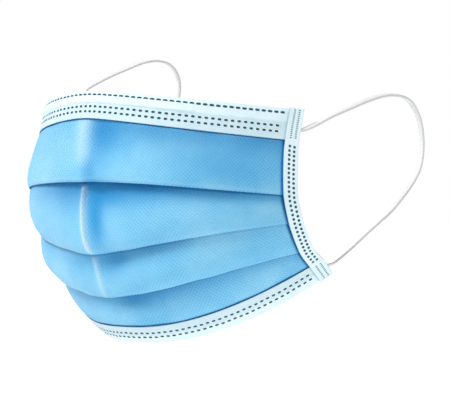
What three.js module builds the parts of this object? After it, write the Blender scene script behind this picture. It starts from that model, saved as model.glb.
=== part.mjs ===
// Pleated surgical face mask, opened as it is when worn, with a flat elastic loop for each ear.
// Millimetres, +Z up. The front faces -Y and the face goes in from +Y.
// The origin is on the inner face of the top band, where it sits on the bridge of the nose.
import * as THREE from 'three';

// ---------- driving dimensions ----------
const CLOTH = 1.0; // one wall of cloth
const GAP = 0.3; // clearance between neighbouring pieces
const HALF_COLUMNS = 20; // columns from the centre line to a side seam
const CREASE_SOFTNESS = 0.06; // how blunt the centre crease is, as a share of the half width

const ROW_HEIGHT = 12; // rough height of one row, to lay a section flat
const BODY_TOP = 0.5; // where the panel begins inside the top band, in rows
const BODY_BOTTOM = 5.86; // where it ends inside the bottom band
const PAST_SEAM = 5.3; // how far the cloth runs on inside a side binding
const BINDING_WIDTH = 6.8; // side binding, from its inner hem to its outer fold
const ROUNDING = 0.65; // how much a folded strip's edge is rounded off
const BINDING_OVERSHOOT = 0.04; // how far a binding runs past the bands, in rows

const PLEAT_LAP = 0.2; // height of the triple layer behind a pleat's edge, in rows
const PLEAT_UNDERCUT = 0.04; // how far the next panel tucks up under it, in rows

const WIRE_HALF_SPAN = 0.66; // nose wire, as a share of the half width
const WIRE_TOP = 0.2; // its upper and lower edge, in rows
const WIRE_BOTTOM = 0.44;
const WIRE_FRONT = -0.1;
const WIRE_BACK = -0.9;

const LOOP_WIDTH = 3.2; // flat elastic
const LOOP_THICKNESS = 1.5;
const LOOP_STEPS = 64;

// A table's rows as objects with named columns.
function table(columns, rows) {
  return rows.map((row) => Object.fromEntries(columns.map((name, i) => [name, row[i]])));
}

// Every fold or hem runs across the mask from the centre line to the side seam.
// centre and side give its two ends; crease is how sharply it turns at the centre line,
// lift and bow are the powers by which it rises and goes back towards the side.
const ROWS = table(['name', 'centreY', 'centreZ', 'sideX', 'sideY', 'sideZ', 'crease', 'lift', 'bow'], [
  ['top_edge', -0.9, 5.6, 67.8, 50.0, -2.2, 0.02, 1.3, 2.4],
  ['top_hem', -2.8, -5.9, 68.5, 46.0, -15.2, 0.0, 1.25, 2.5],
  ['pleat_1', -4.5, -32.2, 72.0, 41.2, -37.8, 0.03, 2.0, 2.95],
  ['pleat_2', 2.0, -62.9, 72.4, 44.2, -49.7, 0.08, 1.15, 2.9],
  ['pleat_3', 11.0, -81.3, 71.2, 52.6, -61.8, 0.1, 1.5, 2.7],
  ['bottom_hem', 19.3, -93.8, 70.6, 59.8, -67.8, 0.15, 2.2, 2.0],
  ['bottom_edge', 25.7, -100.9, 70.0, 67.2, -73.9, 0.22, 2.25, 1.7],
]);
const FIRST_PLEAT = 2;
const LAST_PLEAT = 4;
const LAST_ROW = ROWS.length - 1;

// How far each panel between two rows bulges out, at the centre line, half way and at the side seam.
const BELLY = table(['from', 'centre', 'cheek', 'side'], [
  ['top_edge', 0.0, 0.0, 0.0],
  ['top_hem', 0.2, 1.2, 0.3],
  ['pleat_1', 2.2, 1.8, 0.3],
  ['pleat_2', 0.0, 3.2, 0.4],
  ['pleat_3', 0.6, 1.4, 0.3],
  ['bottom_hem', 0.0, 0.0, 0.0],
]);
const BELLY_RISE = 1.3; // powers that put the fullest part of a panel below its middle
const BELLY_FALL = 0.8;

// Depth of a pleat's step from the centre line to the side seam.
const STEP = table(['across', 'depth'], [
  [0.0, 1.2],
  [0.3, 2.4],
  [0.7, 2.0],
  [1.0, 0.8],
]);

// Distances out of the panel's face (negative is towards the wearer) of the layers at the bands.
const BAND = { outer: GAP + CLOTH, slotFront: GAP, slotBack: -CLOTH - GAP, inner: -2 * CLOTH - GAP };
const BINDING_BACK = BAND.inner - GAP;

// Ear loops, from the upper end of the side binding to the lower one.
const RIGHT_LOOP = [
  [72.2, 54.9, -10.7], [74.2, 59.6, -8.6], [75.4, 67.0, -5.4], [75.8, 79.0, -1.5],
  [75.2, 94.2, 2.9], [73.0, 110.6, 5.8], [70.0, 126.5, 5.7], [68.0, 135.3, 3.4],
  [65.0, 145.6, -3.4], [63.0, 150.7, -11.8], [62.0, 152.1, -18.2], [62.0, 149.8, -26.0],
  [63.0, 142.2, -33.4], [65.0, 131.1, -40.2], [66.8, 121.4, -45.5], [70.0, 100.9, -54.4],
  [73.0, 83.0, -62.0], [74.2, 75.4, -65.0], [74.8, 69.8, -67.0],
];
const LEFT_LOOP = [
  [-72.2, 54.9, -10.7], [-74.4, 58.4, -7.4], [-76.0, 62.6, -0.6], [-76.6, 69.2, 10.4],
  [-76.2, 81.6, 17.2], [-75.5, 95.9, 22.8], [-74.8, 109.0, 27.2], [-74.4, 118.4, 28.5],
  [-74.1, 126.0, 27.4], [-73.8, 131.0, 23.8], [-73.5, 133.4, 17.6], [-73.4, 132.2, 8.0],
  [-73.4, 127.0, -8.0], [-73.6, 117.0, -26.0], [-74.0, 103.8, -43.6], [-74.4, 90.0, -55.8],
  [-74.7, 78.2, -63.4], [-74.8, 69.8, -67.0],
];

// ---------- the mask's surface ----------

// Softened distance from the centre line, 0 there and 1 at the side seam.
function fromCentre(across) {
  const blunt = CREASE_SOFTNESS;
  return (Math.hypot(across, blunt) - blunt) / (Math.hypot(1, blunt) - blunt);
}

function rowPoint(row, across) {
  const soft = fromCentre(across);
  const back = row.crease * soft + (1 - row.crease) * Math.abs(across) ** row.bow;
  return new THREE.Vector3(
    row.sideX * across,
    row.centreY + (row.sideY - row.centreY) * back,
    row.centreZ + (row.sideZ - row.centreZ) * soft ** row.lift,
  );
}

// The panel that a height lies in, and how far down it is. Heights are counted in rows.
function panelAt(height) {
  const index = THREE.MathUtils.clamp(Math.floor(height), 0, LAST_ROW - 1);
  return { index, part: height - index };
}

// A smooth line down through all the rows, without the panels' bulge. It runs straight on past both ends.
function sheetPoint(height, across) {
  const points = ROWS.map((row) => rowPoint(row, across));
  const inside = THREE.MathUtils.clamp(height, 0, LAST_ROW);
  const line = new THREE.CatmullRomCurve3(points, false, 'centripetal');
  const from = inside === 0 ? 0 : LAST_ROW - 1;
  const onward = points[from + 1].clone().sub(points[from]);
  return line.getPoint(inside / LAST_ROW).addScaledVector(onward, height - inside);
}

function bulge(height, across) {
  const { index, part } = panelAt(height);
  if (part <= 0 || part >= 1) return 0;
  const fullest = BELLY_RISE / (BELLY_RISE + BELLY_FALL);
  const peak = fullest ** BELLY_RISE * (1 - fullest) ** BELLY_FALL;
  const down = (part ** BELLY_RISE * (1 - part) ** BELLY_FALL) / peak;
  const { centre, cheek, side } = BELLY[index];
  const out = Math.abs(across);
  const atCentre = centre * (2 * out - 1) * (out - 1);
  const atCheek = cheek * 4 * out * (1 - out);
  const atSide = side * out * (2 * out - 1);
  return (atCentre + atCheek + atSide) * down;
}

function tangentAcross(height, across) {
  const step = 0.01;
  return sheetPoint(height, across + step).sub(sheetPoint(height, across - step)).normalize();
}

// Direction out of the mask at a row, from the rows above and below it.
function rowNormal(index, across) {
  const above = rowPoint(ROWS[Math.max(index - 1, 0)], across);
  const below = rowPoint(ROWS[Math.min(index + 1, LAST_ROW)], across);
  return tangentAcross(index, across).cross(above.sub(below)).normalize();
}

function normalAt(height, across) {
  const { index, part } = panelAt(height);
  const share = THREE.MathUtils.clamp(part, 0, 1);
  return rowNormal(index, across).lerp(rowNormal(index + 1, across), share).normalize();
}

// A point of the mask: height in rows, a column across it, and a distance out of the panel's face.
// Past the side seam a column runs straight on for `past` millimetres.
function place(height, column, out) {
  const point = sheetPoint(height, column.across);
  const side = Math.sign(column.across);
  point.addScaledVector(tangentAcross(height, column.across), side * column.past);
  return point.addScaledVector(normalAt(height, column.across), bulge(height, column.across) + out);
}

// Columns from left to right, between two shares of the half width.
function columnsUpTo(span, past) {
  const count = Math.round(HALF_COLUMNS * span);
  const columns = [];
  for (let i = -count; i <= count; i += 1) {
    columns.push({ across: (span * i) / count, past: 0 });
  }
  if (past > 0) {
    columns.unshift({ across: -span, past });
    columns.push({ across: span, past });
  }
  return columns;
}

// ---------- lofting ----------

function enclosedVolume(points, triangles) {
  let volume = 0;
  for (const [a, b, c] of triangles) {
    volume += points[a].dot(new THREE.Vector3().crossVectors(points[b], points[c])) / 6;
  }
  return volume;
}

// Triangles that close a section drawn flat as an outline.
function closeOutline(outline) {
  const flat = outline.map(([x, y]) => new THREE.Vector2(x, y));
  const clockwise = THREE.ShapeUtils.isClockWise(flat);
  const triangles = THREE.ShapeUtils.triangulateShape(flat, []);
  return triangles.map(([a, b, c]) => (clockwise ? [a, c, b] : [a, b, c]));
}

// Triangles that close a long thin section, rung by rung, between its face and its back.
// The section's points run down the face and up the back, as many on each.
function closeRungs(count) {
  const triangles = [];
  for (let i = 0; i + 1 < count / 2; i += 1) {
    const [face, back] = [i, count - 1 - i];
    triangles.push([face, face + 1, back], [face + 1, back - 1, back]);
  }
  return triangles;
}

// Skins a row of closed sections. The closing triangles go on both ends.
function loft(sections, closing) {
  const count = sections[0].length;
  const points = sections.flat();
  const triangles = [];
  for (let s = 0; s + 1 < sections.length; s += 1) {
    for (let i = 0; i < count; i += 1) {
      const [a, b] = [s * count + i, s * count + ((i + 1) % count)];
      triangles.push([a, a + count, b], [b, a + count, b + count]);
    }
  }
  const last = (sections.length - 1) * count;
  for (const [a, b, c] of closing) {
    triangles.push([a, b, c], [last + a, last + c, last + b]);
  }
  const outwards = enclosedVolume(points, triangles) > 0;
  const order = triangles.flatMap(([a, b, c]) => (outwards ? [a, b, c] : [a, c, b]));
  const geometry = new THREE.BufferGeometry().setFromPoints(points);
  geometry.setIndex(order);
  geometry.computeVertexNormals();
  return geometry;
}

// ---------- finishes ----------
function paint(color, roughness) {
  return new THREE.MeshStandardMaterial({ color, roughness });
}
const FINISHES = {
  blueCloth: () => paint(0x6fbde8, 0.75),
  whiteCloth: () => paint(0xdff1f8, 0.7),
  wire: () => paint(0xf2f6f8, 0.45),
  elastic: () => paint(0xf5f5f5, 0.85),
};

function piece(name, geometry, finish) {
  const mesh = new THREE.Mesh(geometry, finish());
  mesh.name = name;
  return mesh;
}

// ---------- pleated panel ----------

function stepDepth(across) {
  const share = Math.abs(across);
  const last = STEP.findIndex((entry) => entry.across >= share);
  const high = STEP[Math.max(last, 1)];
  const low = STEP[Math.max(last, 1) - 1];
  const part = (share - low.across) / (high.across - low.across);
  return THREE.MathUtils.lerp(low.depth, high.depth, THREE.MathUtils.smoothstep(part, 0, 1));
}

// The panel's wall down one column: first its face from top to bottom, then its back upwards.
// Below a pleat's edge the face starts a step deeper and comes forward to the next edge.
function panelOutline(across) {
  const depth = stepDepth(across);
  const recess = (height) => {
    const { index, part } = panelAt(height);
    return index >= FIRST_PLEAT && index <= LAST_PLEAT ? depth * (1 - part) : 0;
  };
  const face = [BODY_TOP, 0.75, 1, 1.25, 1.5].map((height) => [height, 0]);
  const back = face.map(([height]) => [height, -CLOTH]);
  for (let pleat = FIRST_PLEAT; pleat <= LAST_PLEAT; pleat += 1) {
    const lapTop = pleat - PLEAT_LAP;
    const lapRecess = recess(lapTop);
    face.push([lapTop, -lapRecess], [pleat, 0], [pleat - PLEAT_UNDERCUT, -depth]);
    back.push([lapTop, -lapRecess - CLOTH], [lapTop, -depth - CLOTH], [pleat, -depth - CLOTH]);
    for (const part of [0.25, 0.5]) {
      face.push([pleat + part, -recess(pleat + part)]);
      back.push([pleat + part, -recess(pleat + part) - CLOTH]);
    }
  }
  for (const height of [5, 5.25, 5.5, BODY_BOTTOM]) {
    face.push([height, 0]);
    back.push([height, -CLOTH]);
  }
  return [...face, ...back.reverse()];
}

function maskBody() {
  const columns = columnsUpTo(1, PAST_SEAM);
  const section = (column) => panelOutline(column.across).map(([height, out]) => place(height, column, out));
  const sections = columns.map(section);
  return piece('mask_body', loft(sections, closeRungs(sections[0].length)), FINISHES.blueCloth);
}

// ---------- bands along the upper and lower edge ----------

// Carries one outline of heights and distances out across the mask, column by column.
function acrossMask(outline, columns) {
  const sections = columns.map((column) => outline.map(([height, out]) => place(height, column, out)));
  const flat = outline.map(([height, out]) => [height * ROW_HEIGHT, out]);
  return loft(sections, closeOutline(flat));
}

// A strip folded over an edge: `fold` is the row of the fold, `hem` the row where both legs end.
function band(name, hem, fold) {
  const into = (share) => THREE.MathUtils.lerp(fold, hem, share);
  const slot = 0.13; // top of the slot, as a share of the strip's height
  const shoulder = 0.07;
  const leg = (out, shares) => shares.map((share) => [into(share), out]);
  const outline = [
    ...leg(BAND.outer, [1, 0.75, 0.5, shoulder]),
    [fold, BAND.outer - ROUNDING],
    [fold, BAND.inner + ROUNDING],
    ...leg(BAND.inner, [shoulder, 0.5, 0.75, 1]),
    ...leg(BAND.slotBack, [1, 0.75, 0.5, slot]),
    ...leg(BAND.slotFront, [slot, 0.5, 0.75, 1]),
  ];
  return piece(name, acrossMask(outline, columnsUpTo(1, PAST_SEAM)), FINISHES.whiteCloth);
}

function noseWire() {
  const outline = [
    [WIRE_TOP, WIRE_FRONT], [WIRE_BOTTOM, WIRE_FRONT], [WIRE_BOTTOM, WIRE_BACK], [WIRE_TOP, WIRE_BACK],
  ];
  return piece('nose_wire', acrossMask(outline, columnsUpTo(WIRE_HALF_SPAN, 0)), FINISHES.wire);
}

// ---------- side bindings ----------

// The front leg lies on the panel, and rises over the bands near both ends.
function bindingFront(height) {
  const overTop = 1 - THREE.MathUtils.smoothstep(height, 1.04, 1.25);
  const overBottom = THREE.MathUtils.smoothstep(height, 4.5, 4.96);
  return GAP + (GAP + CLOTH) * Math.max(overTop, overBottom);
}

function sideBinding(name, side) {
  const heights = [-BINDING_OVERSHOOT, 0.25, 0.5, 0.75, 1.04, 1.25, 1.5, 2 - PLEAT_LAP];
  for (let pleat = FIRST_PLEAT; pleat <= LAST_PLEAT; pleat += 1) {
    heights.push(pleat, pleat + 0.25, pleat + 0.5, pleat + 1 - PLEAT_LAP);
  }
  heights.pop();
  heights.push(4.96, 5.25, 5.5, 5.75, LAST_ROW + BINDING_OVERSHOOT);
  const fold = BINDING_WIDTH;
  const slot = BINDING_WIDTH - CLOTH;
  const outlineAt = (height) => {
    const front = bindingFront(height);
    const back = BINDING_BACK;
    return [
      [0, front],
      [0, front + CLOTH],
      [slot, front + CLOTH],
      [fold, front + CLOTH - ROUNDING],
      [fold, back - CLOTH + ROUNDING],
      [slot, back - CLOTH],
      [0, back - CLOTH],
      [0, back],
      [slot, back],
      [slot, front],
    ];
  };
  const section = (height) =>
    outlineAt(height).map(([past, out]) => place(height, { across: side, past }, out));
  return piece(name, loft(heights.map(section), closeOutline(outlineAt(0))), FINISHES.whiteCloth);
}

// ---------- ear loops ----------

function earLoop(name, points) {
  const stations = points.map(([x, y, z]) => new THREE.Vector3(x, y, z));
  const path = new THREE.CatmullRomCurve3(stations, false, 'centripetal');
  const section = new THREE.Shape();
  const corners = 8;
  for (let i = 0; i < corners; i += 1) {
    const angle = ((i + 0.5) / corners) * Math.PI * 2;
    const x = (Math.cos(angle) * LOOP_THICKNESS) / 2;
    const y = (Math.sin(angle) * LOOP_WIDTH) / 2;
    if (i === 0) section.moveTo(x, y);
    else section.lineTo(x, y);
  }
  section.closePath();
  const extrusion = { steps: LOOP_STEPS, extrudePath: path, bevelEnabled: false };
  const geometry = new THREE.ExtrudeGeometry(section, extrusion);
  return piece(name, geometry, FINISHES.elastic);
}

// ---------- assembly ----------
const mask = new THREE.Group();
mask.add(maskBody());
mask.add(band('top_band', 1, 0));
mask.add(band('bottom_band', LAST_ROW - 1, LAST_ROW));
mask.add(noseWire());
mask.add(sideBinding('side_binding_left', -1));
mask.add(sideBinding('side_binding_right', 1));
mask.add(earLoop('ear_loop_left', LEFT_LOOP));
mask.add(earLoop('ear_loop_right', RIGHT_LOOP));

export default mask;
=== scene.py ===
"""Pleated surgical face mask: blue filter cloth, white weld-dotted strips and two flat ear loops.

Everything is in metres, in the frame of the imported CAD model. The front faces -Y and +Z is up.
"""

import logging
import math
from dataclasses import dataclass, field
from enum import Enum
from functools import cache
from typing import Optional, Sequence

import bpy
import numpy as np
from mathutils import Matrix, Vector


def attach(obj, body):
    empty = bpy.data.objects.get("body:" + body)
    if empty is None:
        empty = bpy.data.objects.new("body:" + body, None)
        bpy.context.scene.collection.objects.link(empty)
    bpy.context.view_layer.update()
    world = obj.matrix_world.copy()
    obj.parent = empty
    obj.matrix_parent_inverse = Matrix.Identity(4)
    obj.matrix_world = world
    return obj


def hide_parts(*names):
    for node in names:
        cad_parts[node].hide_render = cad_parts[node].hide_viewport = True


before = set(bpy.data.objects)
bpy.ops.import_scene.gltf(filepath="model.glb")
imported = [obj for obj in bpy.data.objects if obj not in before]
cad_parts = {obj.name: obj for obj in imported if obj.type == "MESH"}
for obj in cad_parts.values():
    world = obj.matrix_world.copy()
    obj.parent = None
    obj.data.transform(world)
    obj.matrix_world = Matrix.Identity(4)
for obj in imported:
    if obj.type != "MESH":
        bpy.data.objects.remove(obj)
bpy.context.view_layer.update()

LOG = logging.getLogger("face_mask")
MM = 0.001
PAST_SEAM = 5.3 * MM
BODY = "root"
Array = np.ndarray


class Side(Enum):
    """The two sides of the mask, by the sign of X."""

    LEFT = -1
    RIGHT = 1


class Slot(Enum):
    """The record's material slots."""

    FILTER = "filter_cloth"
    BINDING = "binding_cloth"
    WIRE = "wire_coat"
    ELASTIC = "elastic"


class Edge(Enum):
    """The two banded edges: hem row, fold row."""

    TOP = (1.0, 0.0)
    BOTTOM = (5.0, 6.0)


def smoothstep(low: float, high: float, value: Array) -> Array:
    """Rises smoothly from 0 at low to 1 at high."""
    part = np.clip((np.asarray(value, float) - low) / (high - low), 0, 1)
    return part * part * (3 - 2 * part)


def window(low: float, high: float, soft: float, value: Array) -> Array:
    """Is 1 between low and high and falls to 0 over `soft` outside them."""
    return smoothstep(low - soft, low, value) * (1 - smoothstep(high, high + soft, value))


def ease(value: Array, stations: Sequence[float], values: Sequence[float]) -> Array:
    """Goes through values at the stations, with a level tangent at each.

    Args:
        value: Where to read it.
        stations: Rising places with a known value.
        values: The value at each station.

    Returns:
        The value at each place, constant past both ends.
    """
    at = np.clip(np.asarray(value, float), stations[0], stations[-1])
    index = np.clip(np.searchsorted(stations, at, side="right") - 1, 0, len(stations) - 2)
    low, high = np.take(stations, index), np.take(stations, index + 1)
    part = (at - low) / (high - low)
    part = part * part * (3 - 2 * part)
    return np.take(values, index) * (1 - part) + np.take(values, index + 1) * part


def unit(vectors: Array) -> Array:
    """Vectors scaled to length 1."""
    return vectors / np.maximum(np.linalg.norm(vectors, axis=-1, keepdims=True), 1e-12)


def catmull_rom(before: Array, start: Array, end: Array, after: Array, part: Array) -> Array:
    """A centripetal curve piece from start to end.

    Args:
        before: The point before start.
        start: Where the piece begins.
        end: Where it ends.
        after: The point after end.
        part: How far along the piece, from 0 to 1.

    Returns:
        The points on the curve.
    """

    def knot(a: Array, b: Array) -> Array:
        """Centripetal spacing of two points."""
        return np.maximum(np.sqrt(np.linalg.norm(b - a, axis=-1, keepdims=True)), 1e-6)

    first, middle, last = knot(before, start), knot(start, end), knot(end, after)
    leaving = (start - before) / first - (end - before) / (first + middle) + (end - start) / middle
    arriving = (end - start) / middle - (after - start) / (middle + last) + (after - end) / last
    leaving, arriving = leaving * middle, arriving * middle
    t = np.asarray(part)[..., None]
    bend = -3 * start + 3 * end - 2 * leaving - arriving
    twist = 2 * start - 2 * end + leaving + arriving
    return start + leaving * t + bend * t**2 + twist * t**3


# ---------------------------------------------------------------- the mask's surface


@dataclass
class MaskSurface:
    """The worn mask's surface. Heights count its rows from the upper edge, 0, to the lower, 6."""

    # centre y, centre z, side x, side y, side z (mm), crease, lift, bow
    rows: Array = field(
        default_factory=lambda: np.array(
            [
                [-0.9, 5.6, 67.8, 50.0, -2.2, 0.02, 1.3, 2.4],
                [-2.8, -5.9, 68.5, 46.0, -15.2, 0.0, 1.25, 2.5],
                [-4.5, -32.2, 72.0, 41.2, -37.8, 0.03, 2.0, 2.95],
                [2.0, -62.9, 72.4, 44.2, -49.7, 0.08, 1.15, 2.9],
                [11.0, -81.3, 71.2, 52.6, -61.8, 0.1, 1.5, 2.7],
                [19.3, -93.8, 70.6, 59.8, -67.8, 0.15, 2.2, 2.0],
                [25.7, -100.9, 70.0, 67.2, -73.9, 0.22, 2.25, 1.7],
            ]
        )
    )
    # how far each panel bulges at the centre, the cheek and the side (mm)
    belly: Array = field(
        default_factory=lambda: np.array(
            [
                [0.0, 0.0, 0.0],
                [0.2, 1.2, 0.3],
                [2.2, 1.8, 0.3],
                [0.0, 3.2, 0.4],
                [0.6, 1.4, 0.3],
                [0.0, 0.0, 0.0],
            ]
        )
    )
    belly_rise: float = 1.3
    belly_fall: float = 0.8
    crease_softness: float = 0.06

    def _row_points(self, across: Array) -> Array:
        """Every row's point at each place across, in mm."""
        blunt = self.crease_softness
        soft = (np.hypot(across, blunt) - blunt) / (np.hypot(1, blunt) - blunt)
        cy, cz, sx, sy, sz, crease, lift, bow = (c[:, None] for c in self.rows.T)
        back = crease * soft + (1 - crease) * np.abs(across) ** bow
        return np.stack([sx * across, cy + (sy - cy) * back, cz + (sz - cz) * soft**lift], axis=2)

    def _sheet(self, height: Array, across: Array) -> Array:
        """The smooth sheet through all the rows, in mm, straight on past both ends."""
        points = self._row_points(across)
        points = np.concatenate(
            [[2 * points[0] - points[1]], points, [2 * points[-1] - points[-2]]]
        )
        inside = np.clip(height, 0, 6)
        index = np.minimum(inside.astype(int), 5)
        at = np.arange(len(across))
        four = [points[index + k, at] for k in range(4)]
        onward = np.where((inside == 0)[:, None], four[2] - four[1], points[7] - points[6])
        return catmull_rom(*four, inside - index) + onward * (height - inside)[:, None]

    def _tangent(self, height: Array, across: Array) -> Array:
        """Direction across the mask, towards +X."""
        step = 0.01
        return unit(self._sheet(height, across + step) - self._sheet(height, across - step))

    def _normal(self, height: Array, across: Array) -> Array:
        """Direction out of the mask."""
        rows = self._row_points(across)
        index = np.clip(np.floor(height).astype(int), 0, 5)
        at = np.arange(len(across))

        def at_row(row: Array) -> Array:
            """The normal at one row of each column."""
            along = rows[np.maximum(row - 1, 0), at] - rows[np.minimum(row + 1, 6), at]
            return unit(np.cross(self._tangent(row.astype(float), across), along))

        share = np.clip(height - index, 0, 1)[:, None]
        return unit(at_row(index) * (1 - share) + at_row(index + 1) * share)

    def bulge(self, height: Array, across: Array) -> Array:
        """How far a panel stands out between its two rows, in mm."""
        index = np.clip(np.floor(height).astype(int), 0, 5)
        part = np.clip(height - index, 0, 1)
        rise, fall = self.belly_rise, self.belly_fall
        fullest = rise / (rise + fall)
        peak = fullest**rise * (1 - fullest) ** fall
        centre, cheek, side = self.belly[index].T
        out = np.abs(across)
        blend = (
            centre * (2 * out - 1) * (out - 1)
            + cheek * 4 * out * (1 - out)
            + side * out * (2 * out - 1)
        )
        return blend * part**rise * (1 - part) ** fall / peak

    def frames(self, height: Array, across: Array, out: Array = 0.0, past: Array = 0.0) -> tuple:
        """Points of the mask with their directions.

        Args:
            height: Rows down from the upper edge.
            across: Share of the half width, -1 to 1.
            out: Distance out of the panel's face, in metres.
            past: Distance straight on past the side seam, in metres.

        Returns:
            Points in metres, directions across, and directions out of the mask.
        """
        flat = [np.asarray(a, float) for a in np.broadcast_arrays(height, across, out, past)]
        shape = flat[0].shape
        h, u, o, p = (a.ravel() for a in flat)
        tangent, normal = self._tangent(h, u), self._normal(h, u)
        point = self._sheet(h, u) * MM + tangent * (np.sign(u) * p)[:, None]
        point = point + normal * (self.bulge(h, u) * MM + o)[:, None]
        return tuple(v.reshape(*shape, 3) for v in (point, tangent, normal))

    def place(self, height: Array, across: Array, out: Array = 0.0, past: Array = 0.0) -> Array:
        """Points of the mask in metres."""
        return self.frames(height, across, out, past)[0]


# ---------------------------------------------------------------- meshes


def arc_lengths(points: Array, axis: int) -> Array:
    """Running length along one axis of a grid of points."""
    steps = np.linalg.norm(np.diff(points, axis=axis), axis=-1)
    start = np.zeros_like(np.take(steps, [0], axis=axis))
    return np.concatenate([start, np.cumsum(steps, axis=axis)], axis=axis)


def grid_object(name: str, points: Array, **tones: Array) -> bpy.types.Object:
    """Makes a sheet from a grid of points, with a flat layout in metres as its UV map.

    Args:
        name: The piece's name.
        points: Rows of points, going down, each from left to right.
        **tones: Values from 0 to 1 at each point: fold, painted shade in folds, laps, hems and
                 seams,
        then painted highlight on ridges and edges, and painted deeper blue shade.

    Returns:
        The linked object.
    """
    rows, columns = points.shape[:2]
    index = np.arange(rows * columns).reshape(rows, columns)
    corners = [index[:-1, :-1], index[1:, :-1], index[1:, 1:], index[:-1, 1:]]
    quads = np.stack([c.ravel() for c in corners], axis=1)
    mesh = bpy.data.meshes.new(name)
    mesh.from_pydata(points.reshape(-1, 3).tolist(), [], quads.tolist())
    mesh.shade_smooth()
    along = arc_lengths(points, 1)
    along = along - along[:, columns // 2][:, None]
    down = np.broadcast_to(arc_lengths(points, 0).mean(axis=1)[:, None], along.shape)
    layout = np.stack([along, down], axis=2).reshape(-1, 2)
    layer = mesh.uv_layers.new(name="flat_layout")
    layer.data.foreach_set("uv", layout[quads.ravel()].ravel().astype(np.float32))
    for label, values in tones.items():
        attribute = mesh.attributes.new(label, "FLOAT", "POINT")
        attribute.data.foreach_set("value", values.ravel().astype(np.float32))
    obj = bpy.data.objects.new(name, mesh)
    bpy.context.scene.collection.objects.link(obj)
    return obj


def thicken(obj: bpy.types.Object, thickness: float, inner_slot: int = 0) -> None:
    """Gives a sheet its thickness, towards its back.

    Args:
        obj: The sheet.
        thickness: In metres.
        inner_slot: How many material slots further the back takes its finish.
    """
    wall = obj.modifiers.new("cloth_thickness", "SOLIDIFY")
    wall.thickness = thickness
    wall.offset = -1
    wall.use_even_offset = False
    wall.material_offset = inner_slot
    wall.use_quality_normals = True


def settle(obj: bpy.types.Object, slot: Slot, *nodes: str) -> None:
    """Puts a piece on the body, in place of its CAD nodes."""
    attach(obj, BODY)
    if nodes:
        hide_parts(*nodes)
    LOG.info("%s: %d faces", obj.name, len(obj.data.polygons))


# ---------------------------------------------------------------- shader tools


class Graph:
    """Adds nodes to one tree and joins them."""

    def __init__(self, tree: bpy.types.NodeTree) -> None:
        """Takes the tree to draw in."""
        self.tree = tree

    def add(self, kind: str, inputs: Optional[dict] = None, **settings: object) -> bpy.types.Node:
        """Adds a node.

        Args:
            kind: The node's type.
            inputs: Socket names or numbers, with a value or the output that feeds each.
            **settings: The node's own properties.

        Returns:
            The node.
        """
        node = self.tree.nodes.new(kind)
        for key, value in settings.items():
            setattr(node, key, value)
        for key, value in (inputs or {}).items():
            if isinstance(value, bpy.types.NodeSocket):
                self.tree.links.new(value, node.inputs[key])
            else:
                node.inputs[key].default_value = value
        return node

    def join(self, output: bpy.types.NodeSocket, socket: bpy.types.NodeSocket) -> None:
        """Links an output to an input socket."""
        self.tree.links.new(output, socket)

    def place(self, tree: bpy.types.NodeTree, inputs: dict) -> bpy.types.Node:
        """Adds a group with its own values."""
        return self.add("ShaderNodeGroup", inputs, node_tree=tree)

    def math(self, operation: str, *values: object) -> bpy.types.NodeSocket:
        """A math node's output, from numbers or sockets."""
        node = self.add("ShaderNodeMath", dict(enumerate(values)), operation=operation)
        return node.outputs[0]

    def mix(
        self, share: object, low: object, high: object, blend: str = "MIX"
    ) -> bpy.types.NodeSocket:
        """A blend of two colours."""
        inputs = {0: share, 6: low, 7: high}
        node = self.add("ShaderNodeMix", inputs, data_type="RGBA", blend_type=blend)
        return node.outputs[2]


def start_group(name: str, inputs: dict, outputs: dict) -> tuple:
    """Begins a shader node group.

    Args:
        name: The group's name.
        inputs: Socket names with their type and first value.
        outputs: Socket names with their type.

    Returns:
        The tree, its graph, its input node and its output node.
    """
    tree = bpy.data.node_groups.new(name, "ShaderNodeTree")
    for label, (kind, value) in inputs.items():
        socket = tree.interface.new_socket(label, in_out="INPUT", socket_type=kind)
        if value is not None:
            socket.default_value = value
    for label, kind in outputs.items():
        tree.interface.new_socket(label, in_out="OUTPUT", socket_type=kind)
    graph = Graph(tree)
    return tree, graph, graph.add("NodeGroupInput"), graph.add("NodeGroupOutput")


VECTOR, FLOAT, COLOR = "NodeSocketVector", "NodeSocketFloat", "NodeSocketColor"


# the painted highlight's colour, and the share of each channel kept under the painted deeper blue
# shade
HIGHLIGHT_WHITE = (0.62, 0.83, 0.93, 1)
DEEP_SHADE_MULTIPLIER = (0.12, 0.53, 0.75, 1)


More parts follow.
